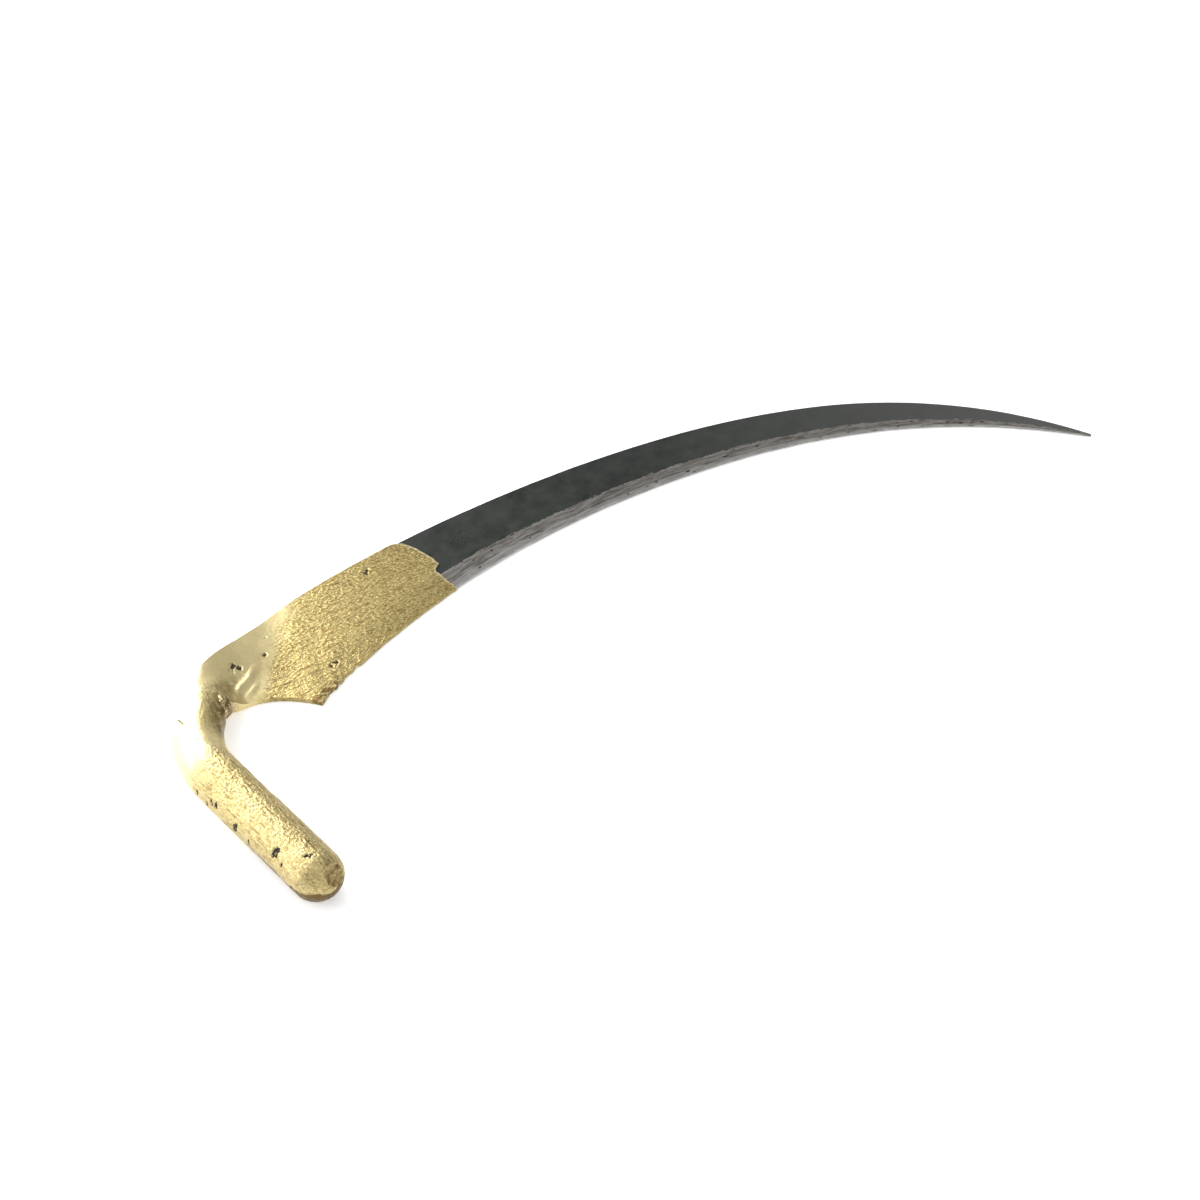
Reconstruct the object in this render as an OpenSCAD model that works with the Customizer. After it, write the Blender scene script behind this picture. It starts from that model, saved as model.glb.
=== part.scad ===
// Hand sickle: a forged blade with a laminated steel edge, forge-welded to a bent round bar
// that is the grip, the heel and grip covered with a thin gold coat. Millimetres.
// The origin is on the grip's axis, half-way along its straight length.
// The grip's free end is toward -Y, the blade reaches toward +X, and +Z is up from the table.

/* [Blade] */
// How far the point reaches out from the grip's axis
tip_reach = 416.5; // [390:0.5:440]
// How far the point drops back, past the middle of the grip
tip_drop = 42.5; // [25:0.5:55]
// How high the spine's curve is drawn, near the heel
spine_rise = 109; // [105:0.5:113]
// How high the edge's curve is drawn, near the heel
edge_rise = 88; // [84:0.5:92]
// Share of the blade's width ground away as the bevel
bevel_share = 0.27; // [0.2:0.01:0.34]
// Width left at the blade's point
point_w = 0.6; // [0.5:0.1:2]

/* [Plate thickness] */
// Thickness along the spine at the heel
spine_t = 3; // [2.6:0.1:3.6]
// Thickness along the spine at the point
point_t = 1.4; // [1.2:0.1:2]
// Thickness where the bevel starts, as a share of the spine's
bevel_t_share = 0.76; // [0.65:0.01:0.85]
// Thickness left at the cutting edge
edge_t = 0.3; // [0.25:0.05:0.5]
// Thickness left at the unground heel corner
corner_t = 1.3; // [1:0.1:1.6]

/* [Edge steel] */
// Thickness of the steel strip, as a share of the spine's
steel_t_share = 0.36; // [0.3:0.01:0.42]
// Share of the blade's width that the steel strip runs under
steel_w_share = 0.5; // [0.46:0.01:0.54]

/* [Grip] */
// Diameter of the grip, over its coat
grip_d = 20; // [18:0.5:22]
// Straight length of the grip, between its bend and its rounded end
grip_len = 63; // [50:1:110]
// Radius of the bend, on the bar's axis
bend_r = 42.5; // [41:0.5:44]
// Angle of the bend at which the bar meets the neck
weld_angle = 45; // [43:1:47]
// Slope of the weld's scarf, away from square
scarf_slope = 50; // [40:1:54]

/* [Coat] */
// Thickness of the gold coat
coat_t = 0.4; // [0.3:0.05:0.6]
// Distance from the grip's axis to the end of the coat, along the spine
coat_reach = 135; // [125:1:150]
// How far the coat's end bows out across the plate
coat_bow = 7.5; // [4:0.5:10]
// Step back of the coat's end where the bevel starts
coat_step = 4; // [2:0.5:5]

/* [Hidden] */
// Half of the straight grip, with the bend's centre beside its end
half_grip = grip_len / 2;
bend_c = [bend_r, half_grip];
// Outside radius of the coat and of the bare bar
coat_r = grip_d / 2;
bar_r = coat_r - coat_t;
// Height of the bare iron's underside
base_z = -bar_r;
// Heel corner and the spine point across from it
corner = [58, 14.5 + half_grip];
spine_start = [80, 67.8 + half_grip];
tip = [tip_reach, -tip_drop];
// Control points of the spine and of the cutting edge, from the heel to the point
spine_pts = [spine_start, [171, spine_rise], [0.69 * tip_reach, 86.5],
             [0.905 * tip_reach, 66], tip];
edge_pts = [corner, [172, edge_rise], [0.645 * tip_reach, 57],
            [0.848 * tip_reach, 51.5], tip];
// Shares of the neck between which its inner and outer sides fall to the plate
fall_in = [0.12, 0.52];
fall_out = [0.2, 0.95];
// Shares of the neck between which its round section turns flat
flat_from = 0.05;
flat_run = 0.6;
// Share of the plate over which the edge thins from its corner
corner_run = 0.2;
// Length shares at the coat's end, along the spine and the edge, and a little past it
coat_s = lookup(coat_reach, [for (k = [0:40]) [bezier(spine_pts, k / 40)[0], k / 40]]);
edge_s = lookup(coat_reach, [for (k = [0:40]) [bezier(edge_pts, k / 40)[0], k / 40]]);
coat_end_s = edge_s + 0.08;
// Share of the width at which the coat's end steps back, the share the step takes, how much
// of it has gone half-way and at the edge, and the points along the bow
step_v = 0.42;
step_run = 0.08;
step_half = 0.3;
step_edge = 0.6;
bow_steps = 8;
// Widths past the spine and past the edge to which the coat's outline is carried
past_spine = 2;
past_edge = -4;
// Weld bead: share along the neck, share in from its inner side, height over the axis, radius
bead_at = 0.14;
bead_in = 0.12;
bead_z = 2;
bead_r = 4.5;
// Stations along the bend, the neck and the plate
bend_steps = 3;
neck_steps = 18;
plate_steps = 34;
room_steps = 29;
// Length shares at which the steel strip starts and ends
steel_s = [0.006, 0.982];
// Points across one face of a section, how many of them cross the bevel, and in all
face_pts = 12;
bevel_pts = 3;
ring_n = 2 * face_pts;
// How far the skin starts ahead of the weld, in degrees of the bend
lead_angle = 28;
// The bend is drawn a little thinner than the straight, and starts this far inside it
bend_draw = 0.05;
tuck_angle = 1;
// Stretch past a face, so that no two cutting faces touch
over = 1;
big = 200;
$fa = 5;
$fs = 0.8;

function mix(a, b, s) = a + (b - a) * s;
function clamp01(x) = min(1, max(0, x));
function ease(x) = let(c = clamp01(x)) c * c * (3 - 2 * c);
// Bezier curve of any degree, by repeated mixing
function bezier(p, s) = len(p) == 1 ? p[0]
    : bezier([for (i = [0:len(p) - 2]) mix(p[i], p[i + 1], s)], s);

// Point on the bend, at an angle from its start and a radius from its centre
function on_bend(a, r) = bend_c + r * [-cos(a), sin(a)];
// Curves of the neck's outer side and inner side, from the bend to the plate
outer_start = on_bend(weld_angle, bend_r + bar_r);
inner_start = on_bend(weld_angle, bend_r - bar_r);
heading = [sin(weld_angle), cos(weld_angle)];
neck_outer = [outer_start, outer_start + 12 * heading, spine_start - [36, 6.5], spine_start];
neck_inner = [inner_start, inner_start + 13 * heading + [-3, 3], corner + [-15, 24], corner];

// Thickness of the plate at a share of its width (0 edge, 1 spine) and of its length
function spine_thick(s) = mix(spine_t, point_t, s);
function edge_thick(s) = mix(corner_t, edge_t, ease(s / corner_run));
function plate_thick(v, s) = let(b = bevel_t_share * spine_thick(s))
    v < bevel_share ? mix(edge_thick(s), b, v / bevel_share)
    : mix(b, spine_thick(s), (v - bevel_share) / (1 - bevel_share));

// Section points as [share of the width, share of the height]: the underside, then the top back
function round_pt(i) = let(a = 180 + 180 * (i + 0.5) / face_pts)
    [(1 + cos(a)) / 2, (1 + sin(a)) / 2];
function flat_pt(i) = let(j = i < face_pts ? i : ring_n - 1 - i)
    [j < bevel_pts ? mix(0, bevel_share, j / bevel_pts)
        : mix(bevel_share, 1, (j - bevel_pts) / (face_pts - 1 - bevel_pts)),
     i < face_pts ? 0 : 1];

// One section: its two plan points, how flat it is, its length shares and its offset
function section(pin, pout, flat, fall, s, c) = let(side = (pout - pin) / norm(pout - pin))
    [for (i = [0:ring_n - 1]) let(
        q = mix(round_pt(i), flat_pt(i), flat),
        xy = mix(pin - c * side, pout + c * side, q[0]),
        drop = mix(ease((fall - fall_in[0]) / (fall_in[1] - fall_in[0])),
                   ease((fall - fall_out[0]) / (fall_out[1] - fall_out[0])), q[0]),
        h = mix(2 * bar_r, plate_thick(q[0], s), drop) + 2 * c)
        [xy[0], xy[1], base_z - c + q[1] * h]];
function bend_section(a, c) = section(on_bend(a, bend_r - bar_r), on_bend(a, bend_r + bar_r),
    0, 0, 0, c);
function neck_section(s, c) = section(bezier(neck_inner, s), bezier(neck_outer, s),
    ease((s - flat_from) / flat_run), s, 0, c);
// Length share at which the plate has narrowed to the width left at the point
last_s = 1 - point_w / (4 * norm((spine_pts[3] - edge_pts[3])));
function plate_section(s, c) = section(bezier(edge_pts, s), bezier(spine_pts, s), 1, 1, s, c);

// Skin through a list of sections, closed at both ends by strips from underside to top
module skin(rings) {
    n = len(rings[0]);
    m = len(rings);
    last = (m - 1) * n;
    polyhedron([for (r = rings) each r], concat(
        [for (i = [0:n / 2 - 2]) [i, i + 1, n - 2 - i, n - 1 - i]],
        [for (k = [0:m - 2], i = [0:n - 1]) [k * n + i, (k + 1) * n + i,
                                             (k + 1) * n + (i + 1) % n]],
        [for (k = [0:m - 2], i = [0:n - 1]) [k * n + i, (k + 1) * n + (i + 1) % n,
                                             k * n + (i + 1) % n]],
        [for (i = [0:n / 2 - 2]) [last + n - 1 - i, last + n - 2 - i,
                                  last + i + 1, last + i]]));
}

// The forging as one skin, up to a length share of the plate, swollen by an offset
module forging(last, c) {
    steps = max(1, ceil(plate_steps * last));
    skin(concat(
        [for (k = [0:bend_steps - 1]) bend_section(
            weld_angle - lead_angle * (1 - k / bend_steps), c)],
        [for (k = [0:neck_steps - 1]) neck_section(k / neck_steps, c)],
        [for (k = [0:steps]) plate_section(last * k / steps, c)]));
}

// Everything on the bar's side of the scarf
module bar_side() {
    translate([on_bend(weld_angle, bend_r)[0], on_bend(weld_angle, bend_r)[1], 0])
        rotate([0, 0, -weld_angle]) rotate([scarf_slope, 0, 0])
            translate([-big / 2, -big, -big / 2]) cube([big, big, big]);
}

// Round bar with its bend and its rounded end, between two radii
module bent_bar(r) {
    rotate([90, 0, 0]) cylinder(r = r, h = grip_len, center = true);
    translate([0, -half_grip, 0]) rotate([90, 0, 0]) intersection() {
        sphere(r = r);
        translate([-big / 2, -big / 2, 0]) cube([big, big, big]);
    }
    translate([bend_c[0], bend_c[1], 0]) rotate([0, 0, 180 - weld_angle - lead_angle])
        rotate_extrude(angle = weld_angle + lead_angle + tuck_angle)
            translate([bend_r, 0]) circle(r = r - bend_draw);
}

// Room for the steel strip: the lower layer of the plate, along the edge
module steel_room() {
    function room(s) = let(
        e = bezier(edge_pts, s), w = bezier(spine_pts, s) - e, u = w / norm(w),
        a = e - over * u, b = e + steel_w_share * w,
        top = base_z + steel_t_share * spine_thick(s))
        [[a[0], a[1], base_z - over], [b[0], b[1], base_z - over],
         [b[0], b[1], top], [a[0], a[1], top]];
    skin([for (k = [0:room_steps]) room(mix(steel_s[0], steel_s[1], k / room_steps))]);
}

// Lump of weld metal in the crook, where the neck's inner side leaves the bar
module bead_ball() {
    at = mix(bezier(neck_inner, bead_at), bezier(neck_outer, bead_at), bead_in);
    translate([at[0], at[1], bead_z]) sphere(r = bead_r);
}

// Plan outline of the coat on the plate, with its bowed end and its step at the bevel
module coat_zone() {
    low = bezier(edge_pts, edge_s)[1];
    high = bezier(spine_pts, coat_s)[1];
    function end_pt(v, out) = [coat_reach + out, mix(low, high, v)];
    linear_extrude(height = big, center = true) polygon(concat(
        [end_pt(past_spine, -big), end_pt(past_spine, 0), end_pt(1, 0)],
        [for (k = [1:bow_steps]) let(a = 90 * k / bow_steps)
            end_pt(1 - (1 - step_v) * (1 - cos(a)), coat_bow * sin(a))],
        [end_pt(step_v - step_run / 2, coat_bow - step_half * coat_step),
         end_pt(step_v - step_run, coat_bow - coat_step),
         end_pt(0, coat_bow - step_edge * coat_step),
         end_pt(past_edge, coat_bow - step_edge * coat_step), end_pt(past_edge, -big)]));
}

module blade_body() color([0.24, 0.25, 0.25]) difference() {
    forging(last_s, 0);
    bar_side();
    steel_room();
}

module edge_steel() color([0.66, 0.64, 0.62]) intersection() {
    forging(last_s, 0);
    steel_room();
}

module tang_bar() color([0.3, 0.3, 0.31]) intersection() {
    bent_bar(bar_r);
    bar_side();
}

module weld_bead() color([0.45, 0.38, 0.24]) difference() {
    bead_ball();
    forging(coat_end_s, 0);
    intersection() {
        bent_bar(bar_r);
        bar_side();
    }
}

module heel_coat() color([0.8, 0.68, 0.36]) difference() {
    intersection() {
        forging(coat_end_s, coat_t);
        coat_zone();
    }
    forging(last_s, 0);
    bar_side();
    bead_ball();
}

module tang_coat() color([0.86, 0.74, 0.42]) difference() {
    intersection() {
        bent_bar(coat_r);
        bar_side();
    }
    bent_bar(bar_r);
    bead_ball();
}

blade_body();
edge_steel();
tang_bar();
weld_bead();
heel_coat();
tang_coat();
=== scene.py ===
import math

import bmesh
import bpy
import numpy as np
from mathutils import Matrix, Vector


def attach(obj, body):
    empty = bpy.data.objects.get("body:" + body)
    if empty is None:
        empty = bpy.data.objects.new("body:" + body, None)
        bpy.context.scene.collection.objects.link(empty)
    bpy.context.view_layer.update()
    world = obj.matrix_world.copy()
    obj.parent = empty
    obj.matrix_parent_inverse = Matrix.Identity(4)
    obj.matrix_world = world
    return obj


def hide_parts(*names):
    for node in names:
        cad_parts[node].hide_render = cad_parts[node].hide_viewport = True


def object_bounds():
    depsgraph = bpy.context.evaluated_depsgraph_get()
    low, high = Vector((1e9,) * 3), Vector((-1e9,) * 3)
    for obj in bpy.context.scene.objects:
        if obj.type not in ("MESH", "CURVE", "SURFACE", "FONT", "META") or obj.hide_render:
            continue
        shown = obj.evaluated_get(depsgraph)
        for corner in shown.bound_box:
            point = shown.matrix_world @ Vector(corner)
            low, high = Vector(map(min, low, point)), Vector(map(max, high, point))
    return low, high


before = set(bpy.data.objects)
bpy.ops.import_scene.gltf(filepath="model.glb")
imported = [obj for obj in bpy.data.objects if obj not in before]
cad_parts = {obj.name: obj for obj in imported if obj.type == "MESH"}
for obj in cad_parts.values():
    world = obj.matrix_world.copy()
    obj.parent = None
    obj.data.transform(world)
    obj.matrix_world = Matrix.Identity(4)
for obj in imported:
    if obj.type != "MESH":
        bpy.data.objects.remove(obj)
cad_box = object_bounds()

# The forging's shape, in millimetres, with the same names and values as in part.scad
COAT_T = 0.4
COAT_R = 10.0
BAR_R = COAT_R - COAT_T
GRIP_LEN = 63.0
HALF_GRIP = GRIP_LEN / 2
BEND_R = 42.5
WELD_ANGLE = math.radians(45)
SCARF_SLOPE = math.radians(50)
BASE_Z = -BAR_R
BEND_C = np.array([BEND_R, HALF_GRIP])
CORNER = np.array([58, 14.5 + HALF_GRIP])
SPINE_START = np.array([80, 67.8 + HALF_GRIP])
TIP = np.array([416.5, -42.5])
# The three inner points of each curve are fitted values and not design choices
SPINE_PTS = [SPINE_START, [171, 109], [0.69 * TIP[0], 86.5], [0.905 * TIP[0], 66], TIP]
EDGE_PTS = [CORNER, [172, 88], [0.645 * TIP[0], 57], [0.848 * TIP[0], 51.5], TIP]
BEVEL_SHARE = 0.27
SPINE_T, POINT_T = 3.0, 1.4
BEVEL_T_SHARE = 0.76
EDGE_T, CORNER_T = 0.3, 1.3
STEEL_T_SHARE, STEEL_W_SHARE = 0.36, 0.5
POINT_W = 0.6
COAT_REACH, COAT_BOW, COAT_STEP, STEP_V = 135.0, 7.5, 4.0, 0.42
FALL_IN = (0.12, 0.52)
FALL_OUT = (0.2, 0.95)

# Stations run along the piece in millimetres: the grip and bend below 0, the neck, the plate
BEND_LEN = WELD_ANGLE * BEND_R
NECK_LEN = 64.0
PLATE_LEN = 400.0
BAR_END = -(BEND_LEN + GRIP_LEN)
POLE = BAR_END - BAR_R * math.pi / 2


def mix(a, b, s):
    return a + (b - a) * s


def ease(x):
    c = np.clip(x, 0, 1)
    return c * c * (3 - 2 * c)


def bezier(points, s):
    """Bezier curve of any degree at an array of shares."""
    pts = [np.broadcast_to(np.asarray(p, float), s.shape + (2,)) for p in points]
    while len(pts) > 1:
        pts = [mix(a, b, s[..., None]) for a, b in zip(pts, pts[1:])]
    return pts[0]


def on_bend(angle, radius):
    turn = np.stack([-np.cos(angle), np.sin(angle)], -1)
    return BEND_C + np.asarray(radius)[..., None] * turn


# ---------------------------------------------------------------- noise


def hash01(ix, iy, iz, seed):
    """Repeatable value from 0 to 1 for each whole-number cell."""
    h = (ix * 73856093) ^ (iy * 19349663) ^ (iz * 83492791) ^ (seed * 2654435761)
    h = h & 0xFFFFFFFF
    h = ((h ^ (h >> 15)) * 2246822519) & 0xFFFFFFFF
    h = ((h ^ (h >> 13)) * 3266489917) & 0xFFFFFFFF
    return (h ^ (h >> 16)) / 4294967295.0


def value_noise(p, size, seed):
    """Smooth noise from -1 to 1 with features about size wide."""
    q = p / size
    cell = np.floor(q).astype(np.int64)
    f = ease(q - cell)
    out = np.zeros(p.shape[:-1])
    for dx in (0, 1):
        for dy in (0, 1):
            for dz in (0, 1):
                w = ((f[..., 0] if dx else 1 - f[..., 0])
                     * (f[..., 1] if dy else 1 - f[..., 1])
                     * (f[..., 2] if dz else 1 - f[..., 2]))
                out += w * hash01(cell[..., 0] + dx, cell[..., 1] + dy, cell[..., 2] + dz, seed)
    return 2 * out - 1


def fbm(p, size, octaves, seed):
    out, amp, total = 0, 1.0, 0.0
    for k in range(octaves):
        out = out + amp * value_noise(p, size / 2**k, seed + k)
        total += amp
        amp *= 0.5
    return out / total


def line_noise(x, size, seed, octaves=3):
    """Noise along one coordinate."""
    x = np.asarray(x, float)
    return fbm(np.stack([x, 0 * x, 0 * x + 0.5], -1), size, octaves, seed)


def grains(p, size, seed):
    """Rounded grains: 1 at each grain's middle, falling to 0 between the grains."""
    q = p / size
    cell = np.floor(q).astype(np.int64)
    best = np.full(p.shape[:-1], 9.0)
    for dx in (-1, 0, 1):
        for dy in (-1, 0, 1):
            for dz in (-1, 0, 1):
                c = cell + np.array([dx, dy, dz])
                far = 0
                for axis in range(3):
                    spot = c[..., axis] + hash01(c[..., 0], c[..., 1], c[..., 2], seed + axis)
                    far = far + (q[..., axis] - spot) ** 2
                best = np.minimum(best, far)
    return np.clip(1 - best / 0.75, 0, 1)


# ---------------------------------------------------------------- the forging's surface

OUTER_START = on_bend(WELD_ANGLE, BEND_R + BAR_R)
INNER_START = on_bend(WELD_ANGLE, BEND_R - BAR_R)
HEADING = np.array([math.sin(WELD_ANGLE), math.cos(WELD_ANGLE)])
NECK_OUTER = [OUTER_START, OUTER_START + 12 * HEADING, SPINE_START - [36, 6.5], SPINE_START]
NECK_INNER = [INNER_START, INNER_START + 13 * HEADING + [-3, 3], CORNER + [-15, 24], CORNER]
SEAM_AT = np.append(on_bend(WELD_ANGLE, BEND_R), 0)
SEAM_N = np.append(math.cos(SCARF_SLOPE) * HEADING, math.sin(SCARF_SLOPE))
LAST_S = 1 - POINT_W / (4 * np.linalg.norm(np.subtract(SPINE_PTS[3], EDGE_PTS[3])))


def ragged_edge(s):
    """How far the edge has worn in, in mm, at a length share of the plate."""
    run = s * PLATE_LEN
    corner_chips = 2.0 * np.clip(line_noise(run, 3.4, 11) + 0.3, 0, 1)
    wear = 0.35 * np.clip(line_noise(run, 9, 12), 0, 1)
    fine = 0.14 * (line_noise(run, 1.6, 13, 2) + 1) * 0.5
    near_corner = ease(s / 0.012) * (1 - ease((s - 0.045) / 0.02))
    fade = 1 - ease((s - 0.8) / 0.2)
    return (corner_chips * near_corner + (wear + fine) * ease(s / 0.02)) * mix(0.35, 1, fade)


def rails(station):
    """Inner and outer plan points, flatness, fall and length share at each station."""
    station = np.asarray(station, float)
    back = np.clip(-station, 0, None)
    angle = WELD_ANGLE - np.minimum(back, BEND_LEN) / BEND_R
    straight = np.clip(back - BEND_LEN, 0, GRIP_LEN)
    dome = np.clip(back - BEND_LEN - GRIP_LEN, 0, BAR_R * math.pi / 2) / BAR_R
    slide = np.stack([0 * straight, -straight - BAR_R * np.sin(dome)], -1)
    r = BAR_R * np.cos(dome)
    bar_in = on_bend(angle, BEND_R - r) + slide
    bar_out = on_bend(angle, BEND_R + r) + slide
    neck_s = np.clip(station / NECK_LEN, 0, 1)
    plate_s = np.clip((station - NECK_LEN) / PLATE_LEN, 0, 1)
    pin = np.where((station < 0)[..., None], bar_in,
                   np.where((station < NECK_LEN)[..., None], bezier(NECK_INNER, neck_s),
                            bezier(EDGE_PTS, plate_s)))
    pout = np.where((station < 0)[..., None], bar_out,
                    np.where((station < NECK_LEN)[..., None], bezier(NECK_OUTER, neck_s),
                             bezier(SPINE_PTS, plate_s)))
    side = pout - pin
    side = side / np.maximum(np.linalg.norm(side, axis=-1, keepdims=True), 1e-9)
    side = np.where((station < BAR_END)[..., None], [-1.0, 0.0], side)
    pin = pin + ragged_edge(plate_s)[..., None] * side
    flat = ease((neck_s - 0.05) / 0.6)
    return pin, pout, side, flat, neck_s, plate_s, r


def spine_thick(s):
    return mix(SPINE_T, POINT_T, s)


def edge_thick(s):
    return mix(CORNER_T, EDGE_T, ease(s * 5))


def bevel_line(s):
    """Share of the width at which the bevel starts, wavering as hand grinding does."""
    run = s * PLATE_LEN
    waver = 0.018 * line_noise(run, 26, 21, 3) + 0.006 * line_noise(run, 5, 22, 2)
    return BEVEL_SHARE + waver


def plate_thick(v, s):
    line = bevel_line(s)
    at_line = BEVEL_T_SHARE * spine_thick(s)
    return np.where(v < line, mix(edge_thick(s), at_line, v / line),
                    mix(at_line, spine_thick(s), (v - line) / (1 - line)))


def ring_share(f):
    """Width and height shares of ring places 0 to 24, for the round and the flat section."""
    a = np.pi + np.pi * (f + 0.5) / 12
    low = f < 12
    j = np.clip(np.where(low, f, 23 - f), 0, 11)
    v = np.where(j < 3, BEVEL_SHARE * j / 3, mix(BEVEL_SHARE, 1, (j - 3) / 8))
    h = np.where(low, np.clip(f - 11, 0, 1), np.clip(24 - f, 0, 1))
    return (1 + np.cos(a)) / 2, (1 + np.sin(a)) / 2, v, h


def skin_point(f, station, out):
    """Point of the forging's skin at a ring place and station, swollen out by some mm."""
    pin, pout, side, flat, fall, s, r = rails(station)
    v0, h0, v1, h1 = ring_share(f)
    v, h = mix(v0, v1, flat), mix(h0, h1, flat)
    swell = out * r / BAR_R
    xy = mix(pin - swell[..., None] * side, pout + swell[..., None] * side, v[..., None])
    beyond = np.clip(BAR_END - station, 0, None) / BAR_R
    xy = xy + np.stack([0 * beyond, -out * np.sin(np.clip(beyond, 0, math.pi / 2))], -1)
    drop = mix(ease((fall - FALL_IN[0]) / (FALL_IN[1] - FALL_IN[0])),
               ease((fall - FALL_OUT[0]) / (FALL_OUT[1] - FALL_OUT[0])), v)
    tall = mix(2 * r, plate_thick(v, s), drop) + 2 * swell
    low = np.where(station < 0, -r, BASE_Z) - swell
    return np.concatenate([xy, (low + h * tall)[..., None]], -1)


def solve_station(f, test, low, high):
    """Station at each ring place where the test turns from negative to positive."""
    lo, hi = np.full(f.shape, float(low)), np.full(f.shape, float(high))
    for _ in range(40):
        mid = (lo + hi) / 2
        below = test(mid) < 0
        lo, hi = np.where(below, mid, lo), np.where(below, hi, mid)
    return (lo + hi) / 2


def seam_station(f, out):
    return solve_station(f, lambda at: (skin_point(f, at, out) - SEAM_AT) @ SEAM_N, -26, 30)


# The coat's end, from the edge to the spine, as places across it and how far out it reaches
edge_at = bezier(EDGE_PTS, np.linspace(0, 1, 401))
spine_at = bezier(SPINE_PTS, np.linspace(0, 1, 401))
END_LOW = np.interp(COAT_REACH, edge_at[:, 0], edge_at[:, 1])
END_HIGH = np.interp(COAT_REACH, spine_at[:, 0], spine_at[:, 1])
bow = np.radians(np.linspace(90, 0, 16))
END_V = np.concatenate([[-4, 0, STEP_V - 0.08, STEP_V - 0.045, STEP_V - 0.015],
                        1 - (1 - STEP_V) * (1 - np.cos(bow)), [2]])
END_OUT = np.concatenate([[COAT_BOW - 0.6 * COAT_STEP, COAT_BOW - 0.6 * COAT_STEP,
                           COAT_BOW - COAT_STEP, COAT_BOW - 0.75 * COAT_STEP,
                           COAT_BOW - 0.25 * COAT_STEP], COAT_BOW * np.sin(bow), [0]])


def end_station(f, out):
    def test(at):
        p = skin_point(f, at, out)
        v = (p[..., 1] - END_LOW) / (END_HIGH - END_LOW)
        waver = 0.3 * line_noise(p[..., 1], 3.0, 31, 2)
        return p[..., 0] - (COAT_REACH + np.interp(v, END_V, END_OUT) + waver)

    return solve_station(f, test, NECK_LEN, NECK_LEN + 0.5 * PLATE_LEN)


# ---------------------------------------------------------------- meshes

SHARP_ANGLE = math.radians(62)


def make_piece(name, points, faces, attributes):
    """New object from points in mm, quads and triangles, and values kept on the points."""
    mesh = bpy.data.meshes.new(name)
    points = np.asarray(points, float).reshape(-1, 3) / 1000
    mesh.vertices.add(len(points))
    mesh.vertices.foreach_set("co", points.astype(np.float32).ravel())
    sizes = np.concatenate([np.full(len(f), f.shape[1]) for f in faces])
    corners = np.concatenate([f.ravel() for f in faces])
    mesh.loops.add(len(corners))
    mesh.loops.foreach_set("vertex_index", corners.astype(np.int32))
    mesh.polygons.add(len(sizes))
    starts = np.concatenate([[0], np.cumsum(sizes)[:-1]])
    mesh.polygons.foreach_set("loop_start", starts.astype(np.int32))
    mesh.polygons.foreach_set("loop_total", sizes.astype(np.int32))
    mesh.update(calc_edges=True)
    for key, values in attributes.items():
        values = np.asarray(values, np.float32)
        if values.ndim == 2:
            layer = mesh.attributes.new(key, "FLOAT_VECTOR", "POINT")
            layer.data.foreach_set("vector", values.ravel())
        else:
            layer = mesh.attributes.new(key, "FLOAT", "POINT")
            layer.data.foreach_set("value", values)
    mesh.shade_smooth()
    mesh.validate()
    obj = bpy.data.objects.new(name, mesh)
    bpy.context.scene.collection.objects.link(obj)
    return obj


def grid_faces(rows, cols, first=0, flip=False):
    """Quads of a grid of points that closes on itself across its columns."""
    i = np.arange(rows - 1)[:, None] * cols
    j = np.arange(cols)[None, :]
    k = (j + 1) % cols
    quads = np.stack([i + j, i + k, i + cols + k, i + cols + j], -1).reshape(-1, 4) + first
    return quads[:, ::-1] if flip else quads


def rim_faces(row_a, row_b, flip=False):
    """Quads between two rings of as many points."""
    a, b = np.asarray(row_a), np.asarray(row_b)
    quads = np.stack([a, np.roll(a, -1), np.roll(b, -1), b], -1)
    return quads[:, ::-1] if flip else quads


def fan_faces(ring, middle, flip=False):
    """Triangles from a ring to one point."""
    ring = np.asarray(ring)
    tris = np.stack([ring, np.roll(ring, -1), np.full(len(ring), middle)], -1)
    return tris[:, ::-1] if flip else tris


def grid_normals(grid):
    """Outward normals of a closed-ring grid of points."""
    along = np.gradient(grid, axis=0)
    around = np.roll(grid, -1, axis=1) - np.roll(grid, 1, axis=1)
    n = np.cross(around, along)
    return n / np.maximum(np.linalg.norm(n, axis=-1, keepdims=True), 1e-12)


def outward_sign(grid, normals):
    middle = grid.mean(axis=1, keepdims=True)
    return 1.0 if ((grid - middle) * normals).sum() > 0 else -1.0


# ---------------------------------------------------------------- relief of the gold coat

# Places on the coat are a station along it and a ring place: 12 is the outer side or spine,
# 17.5 the crest and 23 the inner side or edge
RIB = ((46, 17.5), (40, 19), (33, 20), (26, 22), (20, 23))
SIDE_RIB = ((44, 20), (36, 21.5), (28, 23))
LAP = ((0, 11), (-2, 12), (-8, 15), (-12, 16), (-22, 17.5))
SCOOP = ((34, 19), (18, 19))
WRINKLE = ((-8, 20), (4, 20), (16, 19), (26, 19))
# Line along the bend's inner side that is browned as painted shade
INNER_SHADE = ((8, 23), (-4, 22.5), (-14, 23))
# The crook: lumpier, and browned as painted shade
CROOK = (10, 24)
# Lumps of metal in the crook: place, width and height
LUMPS = [((2, 22), 3.0, 1.1), ((11, 24), 3.0, 1.0), ((16, 1), 2.4, 0.9),
         ((4, 21), 2.4, 0.6), ((8, 23), 2.0, 1.1), ((-2, 21), 1.8, 0.5)]
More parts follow.
